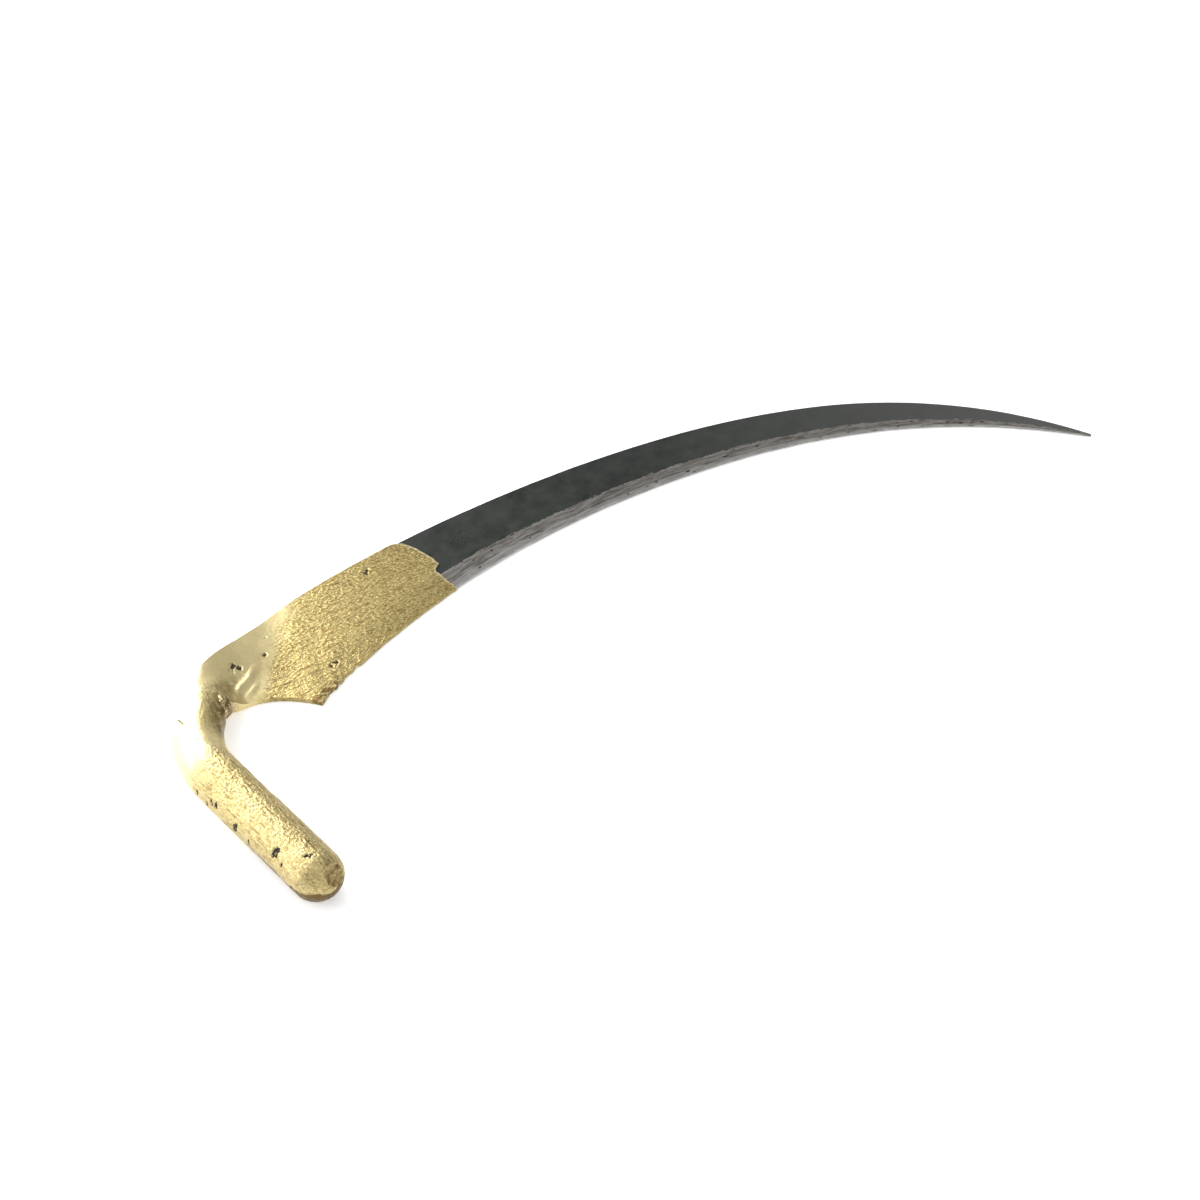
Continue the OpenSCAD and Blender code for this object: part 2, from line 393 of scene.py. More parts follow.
# Knocked places: station, ring place, number of chips, their scatter and their size
KNOCKS = [(39, 16, 5, 3.0, 1.0), (51, 16, 2, 1.0, 0.8), (54, 14, 1, 0.0, 0.5),
          (75, 21, 3, 1.5, 0.8), (106, 14, 3, 2.0, 0.7), (-60, 12, 2, 1.0, 0.9),
          (-83, 14, 5, 2.5, 0.8), (-94, 17, 3, 2.5, 0.7), (-90, 21, 2, 1.5, 0.7)]
SIDE_CHIPS = 40
CHIP_REACH = np.array([1, 1, 0.5])


def coat_at(places):
    """Points on the coat's skin at (station, ring place) pairs."""
    station, ring = np.array(places, float).T
    return skin_point(ring, station, np.full(len(station), COAT_T))


def chip_spots():
    """Every chip's point and radius: some round each knocked place, more along the sides."""
    rng = np.random.default_rng(7)
    places, sizes = [], []
    for station, ring, count, scatter, size in KNOCKS:
        for _ in range(count):
            places.append((station + scatter * rng.uniform(-1, 1),
                           ring + 0.2 * scatter * rng.uniform(-1, 1)))
            sizes.append(size * rng.uniform(0.7, 1.1))
    for _ in range(SIDE_CHIPS):
        if rng.random() < 0.55:
            places.append((rng.uniform(BAR_END, -28), rng.uniform(6, 13.5)))
            sizes.append(rng.uniform(0.3, 0.8))
        else:
            places.append((rng.uniform(70, 130), rng.uniform(2, 9)))
            sizes.append(rng.uniform(0.4, 1.0))
    return list(zip(coat_at(places), sizes))


def line_distance(p, points):
    """Distance to a line through some points, and the share along it of the nearest place."""
    best = np.full(p.shape[:-1], 1e9)
    share = np.zeros(p.shape[:-1])
    pts = np.asarray(points, float)
    for k in range(len(pts) - 1):
        leg = pts[k + 1] - pts[k]
        t = np.clip(((p - pts[k]) @ leg) / (leg @ leg), 0, 1)
        d = np.linalg.norm(p - pts[k] - t[..., None] * leg, axis=-1)
        near = d < best
        best = np.where(near, d, best)
        share = np.where(near, (k + t) / (len(pts) - 1), share)
    return best, share


def body_wave(p):
    """Slow unevenness of the forging itself, in mm, shared by the iron and its coat."""
    bar = ease((48 - p[..., 1]) / 14) * ease((16 - p[..., 0]) / 4)
    heel = ease((p[..., 0] - 30) / 20)
    return (0.30 * fbm(p, 17, 2, 41) * bar + 0.12 * fbm(p, 14, 2, 42) * heel
            + 0.12 * fbm(p, 12, 2, 43) * (1 - bar) * (1 - heel))


# The worn flat on the bar's domed end: which way it faces, and its distance from the middle
FACE_TURN, FACE_TILT, FACE_OUT = math.radians(18), math.radians(25), 9.4
FACE_N = np.array([math.sin(FACE_TURN) * math.cos(FACE_TILT),
                   -math.cos(FACE_TURN) * math.cos(FACE_TILT), math.sin(FACE_TILT)])
FACE_AT = np.array([0, HALF_GRIP - GRIP_LEN, 0]) + FACE_OUT * FACE_N


def worn_body(grid, normal, out):
    """The skin with its slow waves, and with the worn flat at the bar's end."""
    grid = grid + body_wave(grid)[..., None] * normal
    past = np.clip((grid - FACE_AT) @ FACE_N + 0.5 + (COAT_T - out), 0, None)
    return grid - (past * 0.85)[..., None] * FACE_N


# Which way the heel's scratches run, turned from +X
LAY_ANGLE = math.radians(-10)


# How far each mark's effect reaches, in mm
WRINKLE_W, RIB_W, SIDE_RIB_W, SCOOP_W, CROOK_W, INNER_SHADE_W = 5.5, 1.7, 1.2, 4.6, 7.5, 6.2
LUMP_CORE = 0.62
GRAIN_SIZE = 1.12
# Depth of a chip and of the open lap, and the lap's half width and raised lip
CHIP_DEPTH, LAP_DEPTH, LAP_W = 0.28, 0.3, 0.42
LIP_AT, LIP_W, LIP_RISE = 1.2, 0.7, 0.14


def falloff(d, wide):
    """1 at no distance, fading smoothly to 0 past the width."""
    return np.exp(-((d / wide) ** 2))


def coat_zones(p):
    """Where the coat is heel, bar and wrinkled, and how rough and how aged it is."""
    x, y = p[..., 0], p[..., 1]
    heel = ease((x - y + 17 + 6 * value_noise(p, 9, 51)) * 0.08 + 0.5) * ease((x - 28) / 12)
    bar = ease((46 - y) / 16) * ease((18 - x) / 6)
    inner = ease((x + 3) / 8) * bar
    # The bend's outer side: smoother, and paler in colour as a painted highlight
    bend_highlight_zone = ease((y - 30) / 14) * ease((2.5 - x) / 7)
    wrinkle_d, _ = line_distance(p, coat_at(WRINKLE))
    wrinkle = falloff(wrinkle_d, WRINKLE_W)
    rough = np.clip(heel + bar * mix(0.8, 1, inner) * (1 - 0.8 * bend_highlight_zone)
                    + 0.8 * wrinkle, 0, 1)
    aged = np.clip(heel + 0.5 * bar * (1 - bend_highlight_zone) + 0.5 * wrinkle, 0, 1)
    return heel, bar, wrinkle, rough, aged


def lay_of(p):
    """Points turned so that their first number runs the way the surface was worked."""
    x, y, z = p[..., 0], p[..., 1], p[..., 2]
    c, s = math.cos(LAY_ANGLE), math.sin(LAY_ANGLE)
    lay = np.stack([c * x + s * y, c * y - s * x, z], -1)
    return np.where((x > 30)[..., None], lay, np.stack([y, x, z], -1))


def grain_relief(p, lay, heel, bar, wrinkle, rough):
    """Height of the coat's grain, and how low each place lies between the grains, which the
    material darkens as painted shade.
    """
    streaky = lay * np.array([0.20, 1.5, 1.0])
    on_heel = (p[..., 0] > 30)[..., None]
    grain_at = np.where(on_heel, lay * np.array([0.5, 1.0, 1.0]), p)
    wander = np.stack([fbm(p, 2.1, 2, seed) for seed in (52, 53, 54)], -1)
    pebble = grains(grain_at + 0.35 * wander, GRAIN_SIZE, 55)
    streak = fbm(streaky, 1.7, 3, 56)
    coarse = fbm(p, 4.5, 3, 57)
    height = rough * (0.17 * pebble * mix(1, 0.30, heel) + 0.20 * streak * heel
                      + 0.13 * coarse * bar + 0.06 * coarse)
    height = height + 0.22 * wrinkle * fbm(p * np.array([1.0, 1.0, 0.5]), 2.6, 3, 80)
    height = height + (1 - rough) * (0.05 * fbm(p, 5, 3, 58) + 0.012 * pebble)
    # How low each place lies between the grains: the material paints it darker as shade
    low = np.clip(0.5 - pebble * 0.75 - 0.55 * streak * mix(0.5, 1, heel), 0, 1) * rough
    return height, low


def add_weld_marks(p, height):
    """The height with the ribs, hollow and lumps round the weld, and where those are."""
    rib_d, rib_s = line_distance(p, coat_at(RIB))
    rib = falloff(rib_d, RIB_W) * np.sin(math.pi * np.clip(rib_s * 0.92 + 0.06, 0, 1))
    side_d, side_s = line_distance(p, coat_at(SIDE_RIB))
    side_rib = falloff(side_d, SIDE_RIB_W) * np.sin(math.pi * side_s)
    height = height + rib * (0.85 + 0.35 * fbm(p, 2.4, 2, 78)) + 0.45 * side_rib
    scoop_d, _ = line_distance(p, coat_at(SCOOP))
    scoop = falloff(scoop_d, SCOOP_W)
    height = height + scoop * (0.20 * fbm(p, 3.2, 3, 68) - 0.25)
    for place, wide, tall in LUMPS:
        d = np.linalg.norm(p - coat_at([place])[0], axis=-1) + 0.5 * value_noise(p, 1.6, 59)
        height = height + tall * falloff(d, LUMP_CORE * wide)
    crook = falloff(np.linalg.norm(p - coat_at([CROOK])[0], axis=-1), CROOK_W)
    height = height + crook * (0.55 * fbm(p, 3.0, 3, 60) + 0.2)
    return height, rib, scoop, crook


def coat_stain_and_shade(p, bar, rib, scoop, crook, face):
    """How brown the coat is: painted shade in the crook, along the bend's inner side, in the
    hollow by the rib, on the worn end and below, less on the rib, and browner at the heel's
    corner.
    """
    x, y, z = p[..., 0], p[..., 1], p[..., 2]
    # Painted shade: brown in the crook and along the bend's inner side, which faces away from
    # the light
    stain_and_shade = np.clip(crook * (1.0 + 0.6 * fbm(p, 2.2, 3, 61)), 0, 1)
    inner_d, _ = line_distance(p, coat_at(INNER_SHADE))
    stain_and_shade = np.maximum(stain_and_shade, 1.1 * falloff(inner_d, INNER_SHADE_W)
                       * (0.95 + 0.5 * fbm(p, 3, 3, 62)))
    # Painted shade: brown in the hollow beside the rib
    stain_and_shade = np.maximum(stain_and_shade, 0.30 * scoop * (1 + fbm(p, 2.6, 3, 69)))
    # Painted highlight: the rib is left paler, less brown, where it catches the light
    stain_and_shade = stain_and_shade * (1 - 0.8 * rib)
    corner_d = np.linalg.norm(p - coat_at([(NECK_LEN + 5, 23)])[0], axis=-1)
    stain_and_shade = np.maximum(stain_and_shade, 0.9 * ease((fbm(p, 1.8, 3, 70) + 0.15) * 3)
                       * ease((11 - corner_d) / 5) * ease((50.5 + 0.25 * (x - 58) - y) / 1.2))
    # Painted shade: brown on the bar's worn end face, standing in for the dark it reflects
    stain_and_shade = np.maximum(stain_and_shade, 0.72 * face * np.clip(0.75 + 1.1 * fbm(p, 2.0, 3, 64), 0, 1))
    # Painted shade: darker underneath the bar's end, towards the floor
    underside_shade = ease((-26 - y) / 8) * ease((0.6 - z + 1.2 * value_noise(p, 3, 65)) / 1.8)
    # Painted shade: darker along the lower side of the bar and bend
    bar_lower_shade = ease((12 - y) / 20) * ease((-0.6 - z + 1.6 * fbm(p, 4, 3, 79)) / 1.6) * bar
    return np.maximum(stain_and_shade, np.maximum(underside_shade, 0.8 * bar_lower_shade))


def coat_chips(p):
    """Where the coat is knocked off, and the open lap with its raised lip."""
    chip = np.zeros(p.shape[:-1])
    jag = 0.9 * fbm(p, 1.0, 3, 66)
    for at, r in chip_spots():
        near = np.linalg.norm((p - at) * CHIP_REACH, axis=-1) / r + jag
        chip = np.maximum(chip, np.clip(1.6 - near, 0, 1))
    lap_d, lap_s = line_distance(p, coat_at(LAP))
    lap_d = lap_d + 0.22 * fbm(p, 1.3, 2, 67)
    open_lap = np.clip(1.5 - lap_d / LAP_W, 0, 1) * (1 - 0.5 * ease((lap_s - 0.3) / 0.6))
    lap_lip = falloff(lap_d - LIP_AT, LIP_W) * (1 - ease((lap_s - 0.2) / 0.5))
    return chip, open_lap, lap_lip


def coat_relief(p, n):
    """Height of the coat's relief, in mm, and the masks that its material reads."""
    under = ease((-7.0 - p[..., 2]) / 2.0) * (n[..., 2] < -0.5)
    heel, bar, wrinkle, rough, aged = coat_zones(p)
    lay = lay_of(p)
    height, low = grain_relief(p, lay, heel, bar, wrinkle, rough)
    height, rib, scoop, crook = add_weld_marks(p, height)
    past = (p - FACE_AT) @ FACE_N + 0.75 + 0.5 * fbm(p, 2.4, 2, 77)
    face = ease(past / 0.5) * ease((-35 - p[..., 1]) / 1.5)
    height = height + face * (0.26 * fbm(p, 1.7, 3, 63) - 0.1)
    chip, open_lap, lap_lip = coat_chips(p)
    height = height - CHIP_DEPTH * ease(chip * 1.6) - LAP_DEPTH * open_lap
    height = height + LIP_RISE * lap_lip
    height = height * mix(1, 0.3, under)
    return height, {"low": low, "chip": np.maximum(chip, open_lap),
                    "stain_and_shade": coat_stain_and_shade(p, bar, rib, scoop, crook, face),
                    "rough": rough, "aged": aged, "lay": lay}


# ---------------------------------------------------------------- the coat's two shells

FINE_TOP, FINE_UNDER = 14, 5
# How fast the painted highlight at the coat's end fades along the coat
LIP_HIGHLIGHT_FADE = 190.0
low_half = np.arange(0, 12, 1 / FINE_UNDER)
top_half = np.arange(12, 24, 1 / FINE_TOP)
RING = np.concatenate([low_half, top_half])


def coat_shell(start, end, rows, inner_rows, pole=False):
    """Closed shell of the coat between two station limits, given per ring place and offset."""
    n = len(RING)
    layers = []
    for out, count in ((COAT_T, rows), (0.03, inner_rows)):
        a, b = start(RING, out), end(RING, out)
        t = np.linspace(0, 1, count)[:, None]
        station = mix(a[None, :], b[None, :], t)
        f = np.broadcast_to(RING, station.shape)
        grid = skin_point(f, station, np.full(station.shape, out))
        normal = grid_normals(grid)
        normal = normal * outward_sign(grid, normal)
        layers.append((worn_body(grid, normal, out), normal, grid))
    outer, normal, plain = layers[0]
    height, masks = coat_relief(plain, normal)
    # Painted highlight: a paler band along the coat's end, where its rim catches the light
    lip = np.exp((np.linspace(0, 1, rows)[:, None] - 1) * LIP_HIGHLIGHT_FADE) * (0 if pole else 1)
    masks["lip"] = np.broadcast_to(lip, outer.shape[:2])
    outer = outer + height[..., None] * normal
    inner = layers[1][0]
    if pole:
        outer[-1] = outer[-1].mean(axis=0)
        inner[-1] = inner[-1].mean(axis=0)
    first_in = rows * n
    points = np.concatenate([outer.reshape(-1, 3), inner.reshape(-1, 3)])
    faces = [grid_faces(rows, n), grid_faces(inner_rows, n, first_in, True),
             rim_faces(np.arange(n), first_in + np.arange(n), True)]
    if not pole:
        faces.append(rim_faces((rows - 1) * n + np.arange(n),
                               first_in + (inner_rows - 1) * n + np.arange(n)))
    values = {}
    for key, mask in masks.items():
        mask = mask.reshape((rows * n,) + mask.shape[2:])
        inside = np.zeros((inner_rows * n,) + mask.shape[1:])
        values[key] = np.concatenate([mask, inside])
    return points, faces, values


def weld_poles(obj):
    """Merge the points that meet at a dome's pole, and point every face outward."""
    bm = bmesh.new()
    bm.from_mesh(obj.data)
    bmesh.ops.remove_doubles(bm, verts=bm.verts, dist=1e-7)
    bmesh.ops.dissolve_degenerate(bm, edges=bm.edges, dist=1e-8)
    bmesh.ops.recalc_face_normals(bm, faces=bm.faces)
    bm.to_mesh(obj.data)
    bm.free()
    obj.data.set_sharp_from_angle(angle=SHARP_ANGLE)


heel = make_piece("heel_gold_coat", *coat_shell(seam_station, end_station, 400, 40))
weld_poles(heel)
tang = make_piece("tang_gold_coat", *coat_shell(
    seam_station, lambda f, out: np.full(f.shape, POLE + 1e-4), 360, 60, pole=True))
weld_poles(tang)

# ---------------------------------------------------------------- bare bar under the coat


def solid_skin(start, end, rows, ring, out, pole=False):
    """Closed solid of the forging's own skin between two station limits."""
    a, b = start(ring, out), end(ring, out)
    t = np.linspace(0, 1, rows)[:, None]
    station = mix(a[None, :], b[None, :], t)
    grid = skin_point(np.broadcast_to(ring, station.shape), station,
                      np.full(station.shape, out))
    normal = grid_normals(grid)
    normal = normal * outward_sign(grid, normal)
    grid = worn_body(grid, normal, out)
    n = len(ring)
    points = grid.reshape(-1, 3)
    middles = [grid[0].mean(axis=0), grid[-1].mean(axis=0)]
    points = np.concatenate([points, middles])
    faces = [grid_faces(rows, n), fan_faces(np.arange(n), rows * n, True),
             fan_faces((rows - 1) * n + np.arange(n), rows * n + 1)]
    return points, faces, {}


COARSE = np.arange(0, 24, 0.5)
bar = make_piece("bare_tang_bar", *solid_skin(
    seam_station, lambda f, out: np.full(f.shape, POLE + 0.6), 80, COARSE, -0.02))
weld_poles(bar)

# ---------------------------------------------------------------- the blade and its edge steel


def plate_rail(s):
    station = NECK_LEN + s * PLATE_LEN
    pin, pout, side, _, _, _, _ = rails(station)
    return pin, pout, side


def even_shares(first, last, spacing_fine, fine_from, spacing_coarse):
    """Length shares at a coarse spacing up to fine_from, then at a fine one."""
    t = np.linspace(0, 1, 4001)
    mid = (bezier(EDGE_PTS, t) + bezier(SPINE_PTS, t)) / 2
    run = np.concatenate([[0], np.cumsum(np.linalg.norm(np.diff(mid, axis=0), axis=1))])
    at = lambda s: np.interp(s, t, run)
    a = np.arange(at(first), at(fine_from), spacing_coarse)
    b = np.linspace(at(fine_from), at(last), int((at(last) - at(fine_from)) / spacing_fine) + 2)
    return np.interp(np.concatenate([a, b]), run, t), np.concatenate([a, b])


def build_plate(parts, shares, run):
    """Grid of points through the parts of a section: lists of width shares and heights."""
    pin, pout, side = plate_rail(shares)
    wide = np.linalg.norm(pout - pin, axis=-1)
    rows = []
    for v, z in parts(shares, wide):
        xy = mix(pin[:, None, :], pout[:, None, :], v[..., None])
        flow = np.stack([np.broadcast_to(run[:, None], v.shape), v * wide[:, None], z], -1)
        rows.append((np.concatenate([xy, z[..., None]], -1), v, flow))
    grid = np.concatenate([r[0] for r in rows], axis=1)
    v = np.concatenate([r[1] for r in rows], axis=1)
    flow = np.concatenate([r[2] for r in rows], axis=1)
    return grid, v, flow, wide


def lamination_line(s):
    """Share of the width at which the steel's layer shows on the bevel, and its thickness."""
    steel = STEEL_T_SHARE * spine_thick(s)
    edge, top = edge_thick(s), BEVEL_T_SHARE * spine_thick(s)
    run = s * PLATE_LEN
    waver = 0.010 * line_noise(run, 12, 23, 3)
    line = bevel_line(s) * (steel - edge) / (top - edge) + waver
    return np.clip(line, 0.006, None), steel


def across(a, b, count, s, ends=(True, True)):
    """Width shares from a to b, each a number or an array along the plate."""
    t = np.linspace(0, 1, count + 1)
    t = t[(0 if ends[0] else 1):(None if ends[1] else -1)]
    return mix(np.broadcast_to(a, s.shape)[:, None], np.broadcast_to(b, s.shape)[:, None], t)


CHAMFER = 0.35
# Columns of points along the hidden face between the blade and the steel
BODY_HIDDEN, STEEL_HIDDEN = 4, 5
STEEL_UNDER = 40


def top_z(v, s):
    return BASE_Z + plate_thick(v, s[:, None])


def body_parts(s, wide):
    line, steel = lamination_line(s)
    bevel = bevel_line(s)
    cut = np.minimum(CHAMFER, 0.3 * spine_thick(s))
    v = across(STEEL_W_SHARE, 1 - cut / wide, 22, s)
    yield v, np.full(v.shape, BASE_Z)
    v = across(1.0, 1.0, 3, s)
    yield v, mix((BASE_Z + cut)[:, None], (top_z(np.ones((len(s), 1)), s)[:, 0] - cut)[:, None],
                 np.linspace(0, 1, 4))
    v = across(1 - cut / wide, bevel, 84, s)
    yield v, top_z(v, s)
    v = across(bevel, line, 16, s, (False, True))
    yield v, top_z(v, s)
    v = across(line, STEEL_W_SHARE, BODY_HIDDEN, s, (False, True))
    start = top_z(line[:, None], s)
    yield v, mix(start, (BASE_Z + steel)[:, None], np.linspace(0, 1, BODY_HIDDEN + 1)[1:])


def steel_parts(s, wide):
    line, steel = lamination_line(s)
    v = across(0.0, STEEL_W_SHARE, STEEL_UNDER, s)
    yield v, np.full(v.shape, BASE_Z)
    v = across(STEEL_W_SHARE, line, STEEL_HIDDEN, s, (True, False))
    start = top_z(line[:, None], s)
    yield v, mix((BASE_Z + steel)[:, None], start, np.linspace(0, 1, STEEL_HIDDEN + 1)[:-1])
    v = across(line, 0.0, 16, s)
    yield v, top_z(v, s)


PITS = 60


def blade_relief(grid, v, flow, shares, wide, top):
    """Height of the hammer marks, scale, scratches and pits in mm, with a pit mask."""
    line = bevel_line(shares)[:, None]
    on_bevel = ease((line - v) * wide[:, None] / 0.5 + 0.5) * top
    hammer = 0.16 * fbm(flow * [0.8, 1, 0], 15, 2, 71) + 0.05 * fbm(flow, 4, 2, 72)
    scale = 0.028 * fbm(flow, 1.3, 3, 73)
    scratch = 0.030 * fbm(flow * [0.06, 1.4, 0], 1.0, 2, 74)
    notch = -0.08 * np.clip(fbm(flow * [0.12, 1, 0], 1.6, 2, 75) - 0.15, 0, 1)
    height = mix(hammer + scale, scratch + notch, on_bevel)
    pit = np.zeros(v.shape)
    rng = np.random.default_rng(12)
    span = flow[..., 0].max()
    for _ in range(PITS):
        at_run = rng.uniform(90, span - 25)
        at_v = rng.uniform(0.02, 0.30)
        k = np.argmin(np.abs(flow[:, 0, 0] - at_run))
        r = rng.uniform(0.2, 0.62)
        stretch = rng.uniform(1.3, 4.0)
        d = np.hypot((flow[..., 0] - at_run) / (r * stretch),
                     (flow[..., 1] - at_v * wide[k]) / r)
        pit = np.maximum(pit, np.clip(1.4 - d, 0, 1) * top)
    return height - 0.12 * ease(pit), {"bevel": (line - v) * wide[:, None] * top,
                                       "spine": (1 - v) * wide[:, None], "pit": pit,
                                       "on_top": np.broadcast_to(top, v.shape)}


def plate_piece(name, parts, extra=None):
    shares, run = even_shares(0.006, LAST_S, 0.55, 0.145, 3.0)
    grid, v, flow, wide = build_plate(parts, shares, run)
    rows, n = grid.shape[:2]
    normal = grid_normals(grid)
    normal = normal * outward_sign(grid, normal)
    top = (normal[..., 2] > 0.5) * 1.0
    height, masks = blade_relief(grid, v, flow, shares, wide, top)
    shown = ease((grid[..., 0] - COAT_REACH + 2) / 6)
    fade = np.clip(wide[:, None] / 14, 0, 1)
    height = height * shown * fade
    inside = np.zeros(v.shape, bool)
    if parts is body_parts:
        inside[:, -BODY_HIDDEN:] = True
    else:
        inside[:, STEEL_UNDER + 1:STEEL_UNDER + 1 + STEEL_HIDDEN] = True
    height = np.where(inside | (top < 0.5), 0, height)
    height = height + np.where(inside, 0, body_wave(grid) * (1 - shown)) * (normal[..., 2] > 0)
    grid = grid + height[..., None] * np.array([0, 0, 1.0])
    points = grid.reshape(-1, 3)
    values = {key: mask.ravel() for key, mask in masks.items()}
    values["flow"] = flow.reshape(-1, 3)
    count = len(points)
    points = np.concatenate([points, grid[:1].mean(axis=1), grid[-1:].mean(axis=1)])
    for key in values:
        pad = values[key][-1:]
        values[key] = np.concatenate([values[key], pad, pad])
    faces = [grid_faces(rows, n), fan_faces(np.arange(n), count, True),
             fan_faces((rows - 1) * n + np.arange(n), count + 1)]
    if extra is not None:
        more_points, more_faces, _ = extra
        base = len(points)
        points = np.concatenate([points, more_points])
        faces += [f + base for f in more_faces]
        for key in values:
            shape = (len(more_points),) + values[key].shape[1:]
            values[key] = np.concatenate([values[key], np.zeros(shape)])
    return make_piece(name, points, faces, values)


core = solid_skin(seam_station, lambda f, out: np.full(f.shape, NECK_LEN + 3.0), 40, COARSE,
                  -0.03)
blade = plate_piece("forged_blade", body_parts, core)
weld_poles(blade)
edge = plate_piece("edge_steel_strip", steel_parts)
weld_poles(edge)

# ---------------------------------------------------------------- weld bead

BEAD_AT, BEAD_IN, BEAD_Z, BEAD_R = 0.14, 0.12, 2.0, 4.5
share = np.array(BEAD_AT)
bead_xy = mix(bezier(NECK_INNER, share), bezier(NECK_OUTER, share), BEAD_IN)
bead_c = np.append(bead_xy, BEAD_Z)


def bead_piece():
    bm = bmesh.new()
    bmesh.ops.create_icosphere(bm, subdivisions=6, radius=1.0)
    unit = np.array([v.co for v in bm.verts])
    at = unit * BEAD_R + bead_c
    height = 0.55 * fbm(at, 3.2, 3, 81) + 0.45 * grains(at, 2.4, 82) - 0.25
    at = at + height[:, None] * unit
    for vert, co in zip(bm.verts, at / 1000):
        vert.co = Vector(co)
    mesh = bpy.data.meshes.new("weld_bead_lump")
    bm.to_mesh(mesh)
    bm.free()
    # How low each place lies: the material paints it brown as shade
    layer = mesh.attributes.new("low", "FLOAT", "POINT")
    layer.data.foreach_set("value", np.clip(0.5 - height, 0, 1).astype(np.float32))
    mesh.shade_smooth()
    obj = bpy.data.objects.new("weld_bead_lump", mesh)
    bpy.context.scene.collection.objects.link(obj)
    return obj


bead = bead_piece()

# ---------------------------------------------------------------- materials


class Graph:
    """A material's node tree, built one node at a time."""

    def __init__(self, name):
        self.mat = bpy.data.materials.new(name)
        self.mat.use_nodes = True
        self.tree = self.mat.node_tree
        self.tree.nodes.clear()
        self.out = self.tree.nodes.new("ShaderNodeOutputMaterial")
        self.shader = self.tree.nodes.new("ShaderNodeBsdfPrincipled")
        self.tree.links.new(self.shader.outputs[0], self.out.inputs[0])

    def put(self, socket, value):
        if isinstance(value, bpy.types.NodeSocket):
            self.tree.links.new(value, socket)
        else:
            socket.default_value = value

    def node(self, kind, ins=None, out=0, **props):
        made = self.tree.nodes.new("ShaderNode" + kind)
        for key, value in props.items():
            setattr(made, key, value)
        for key, value in (ins or {}).items():
            self.put(made.inputs[key], value)
        return made.outputs[out]

    def attr(self, name, out="Fac"):
        return self.node("Attribute", attribute_name=name, out=out)

    def where(self):
        return self.node("TexCoord", out="Object")

    def noise(self, at, scale, detail=3.0, rough=0.55, distortion=0.0):
        return self.node("TexNoise", {"Vector": at, "Scale": scale, "Detail": detail,
                                      "Roughness": rough, "Distortion": distortion})

    def voronoi(self, at, scale, feature="F1"):
        return self.node("TexVoronoi", {"Vector": at, "Scale": scale}, feature=feature,
                         out="Distance")

    def stretch(self, at, scale):
        return self.node("Mapping", {"Vector": at, "Scale": scale})

    def span(self, value, a, b, c=0.0, d=1.0):
        return self.node("MapRange", {"Value": value, "From Min": a, "From Max": b,
                                      "To Min": c, "To Max": d})

    def math(self, kind, a, b=0.0):
        return self.node("Math", {0: a, 1: b}, operation=kind)

    def blend(self, fac, a, b, kind="MIX"):
        made = self.tree.nodes.new("ShaderNodeMix")
        made.data_type = "RGBA"
        made.blend_type = kind
        self.put(made.inputs[0], fac)
        self.put(made.inputs[6], a)
        self.put(made.inputs[7], b)
        return made.outputs[2]

    def bump(self, height, strength, distance, normal=None):
        ins = {"Height": height, "Strength": strength, "Distance": distance}
        if normal is not None:
            ins["Normal"] = normal
        return self.node("Bump", ins)

    def set(self, **ins):
        for key, value in ins.items():
            self.put(self.shader.inputs[key.replace("_", " ")], value)


def rgb(r, g, b):
    return (r, g, b, 1.0)


PALE_GOLD = rgb(0.84, 0.71, 0.385)
MID_GOLD = rgb(0.49, 0.40, 0.175)
# Deep gold: darker grains and speckle, and painted shade between the grains
DEEP_GOLD = rgb(0.30, 0.215, 0.075)
# Paler gold for the painted highlight along the coat's end
LIP_HIGHLIGHT_GOLD = rgb(0.90, 0.80, 0.55)
# Brown for painted shade in hollows, underneath and on the inner bend, and for the heel's
# corner
GOLD_BROWN = rgb(0.13, 0.082, 0.026)
STREAK_BROWN = rgb(0.19, 0.13, 0.045)
CHIP_DARK = rgb(0.040, 0.032, 0.024)


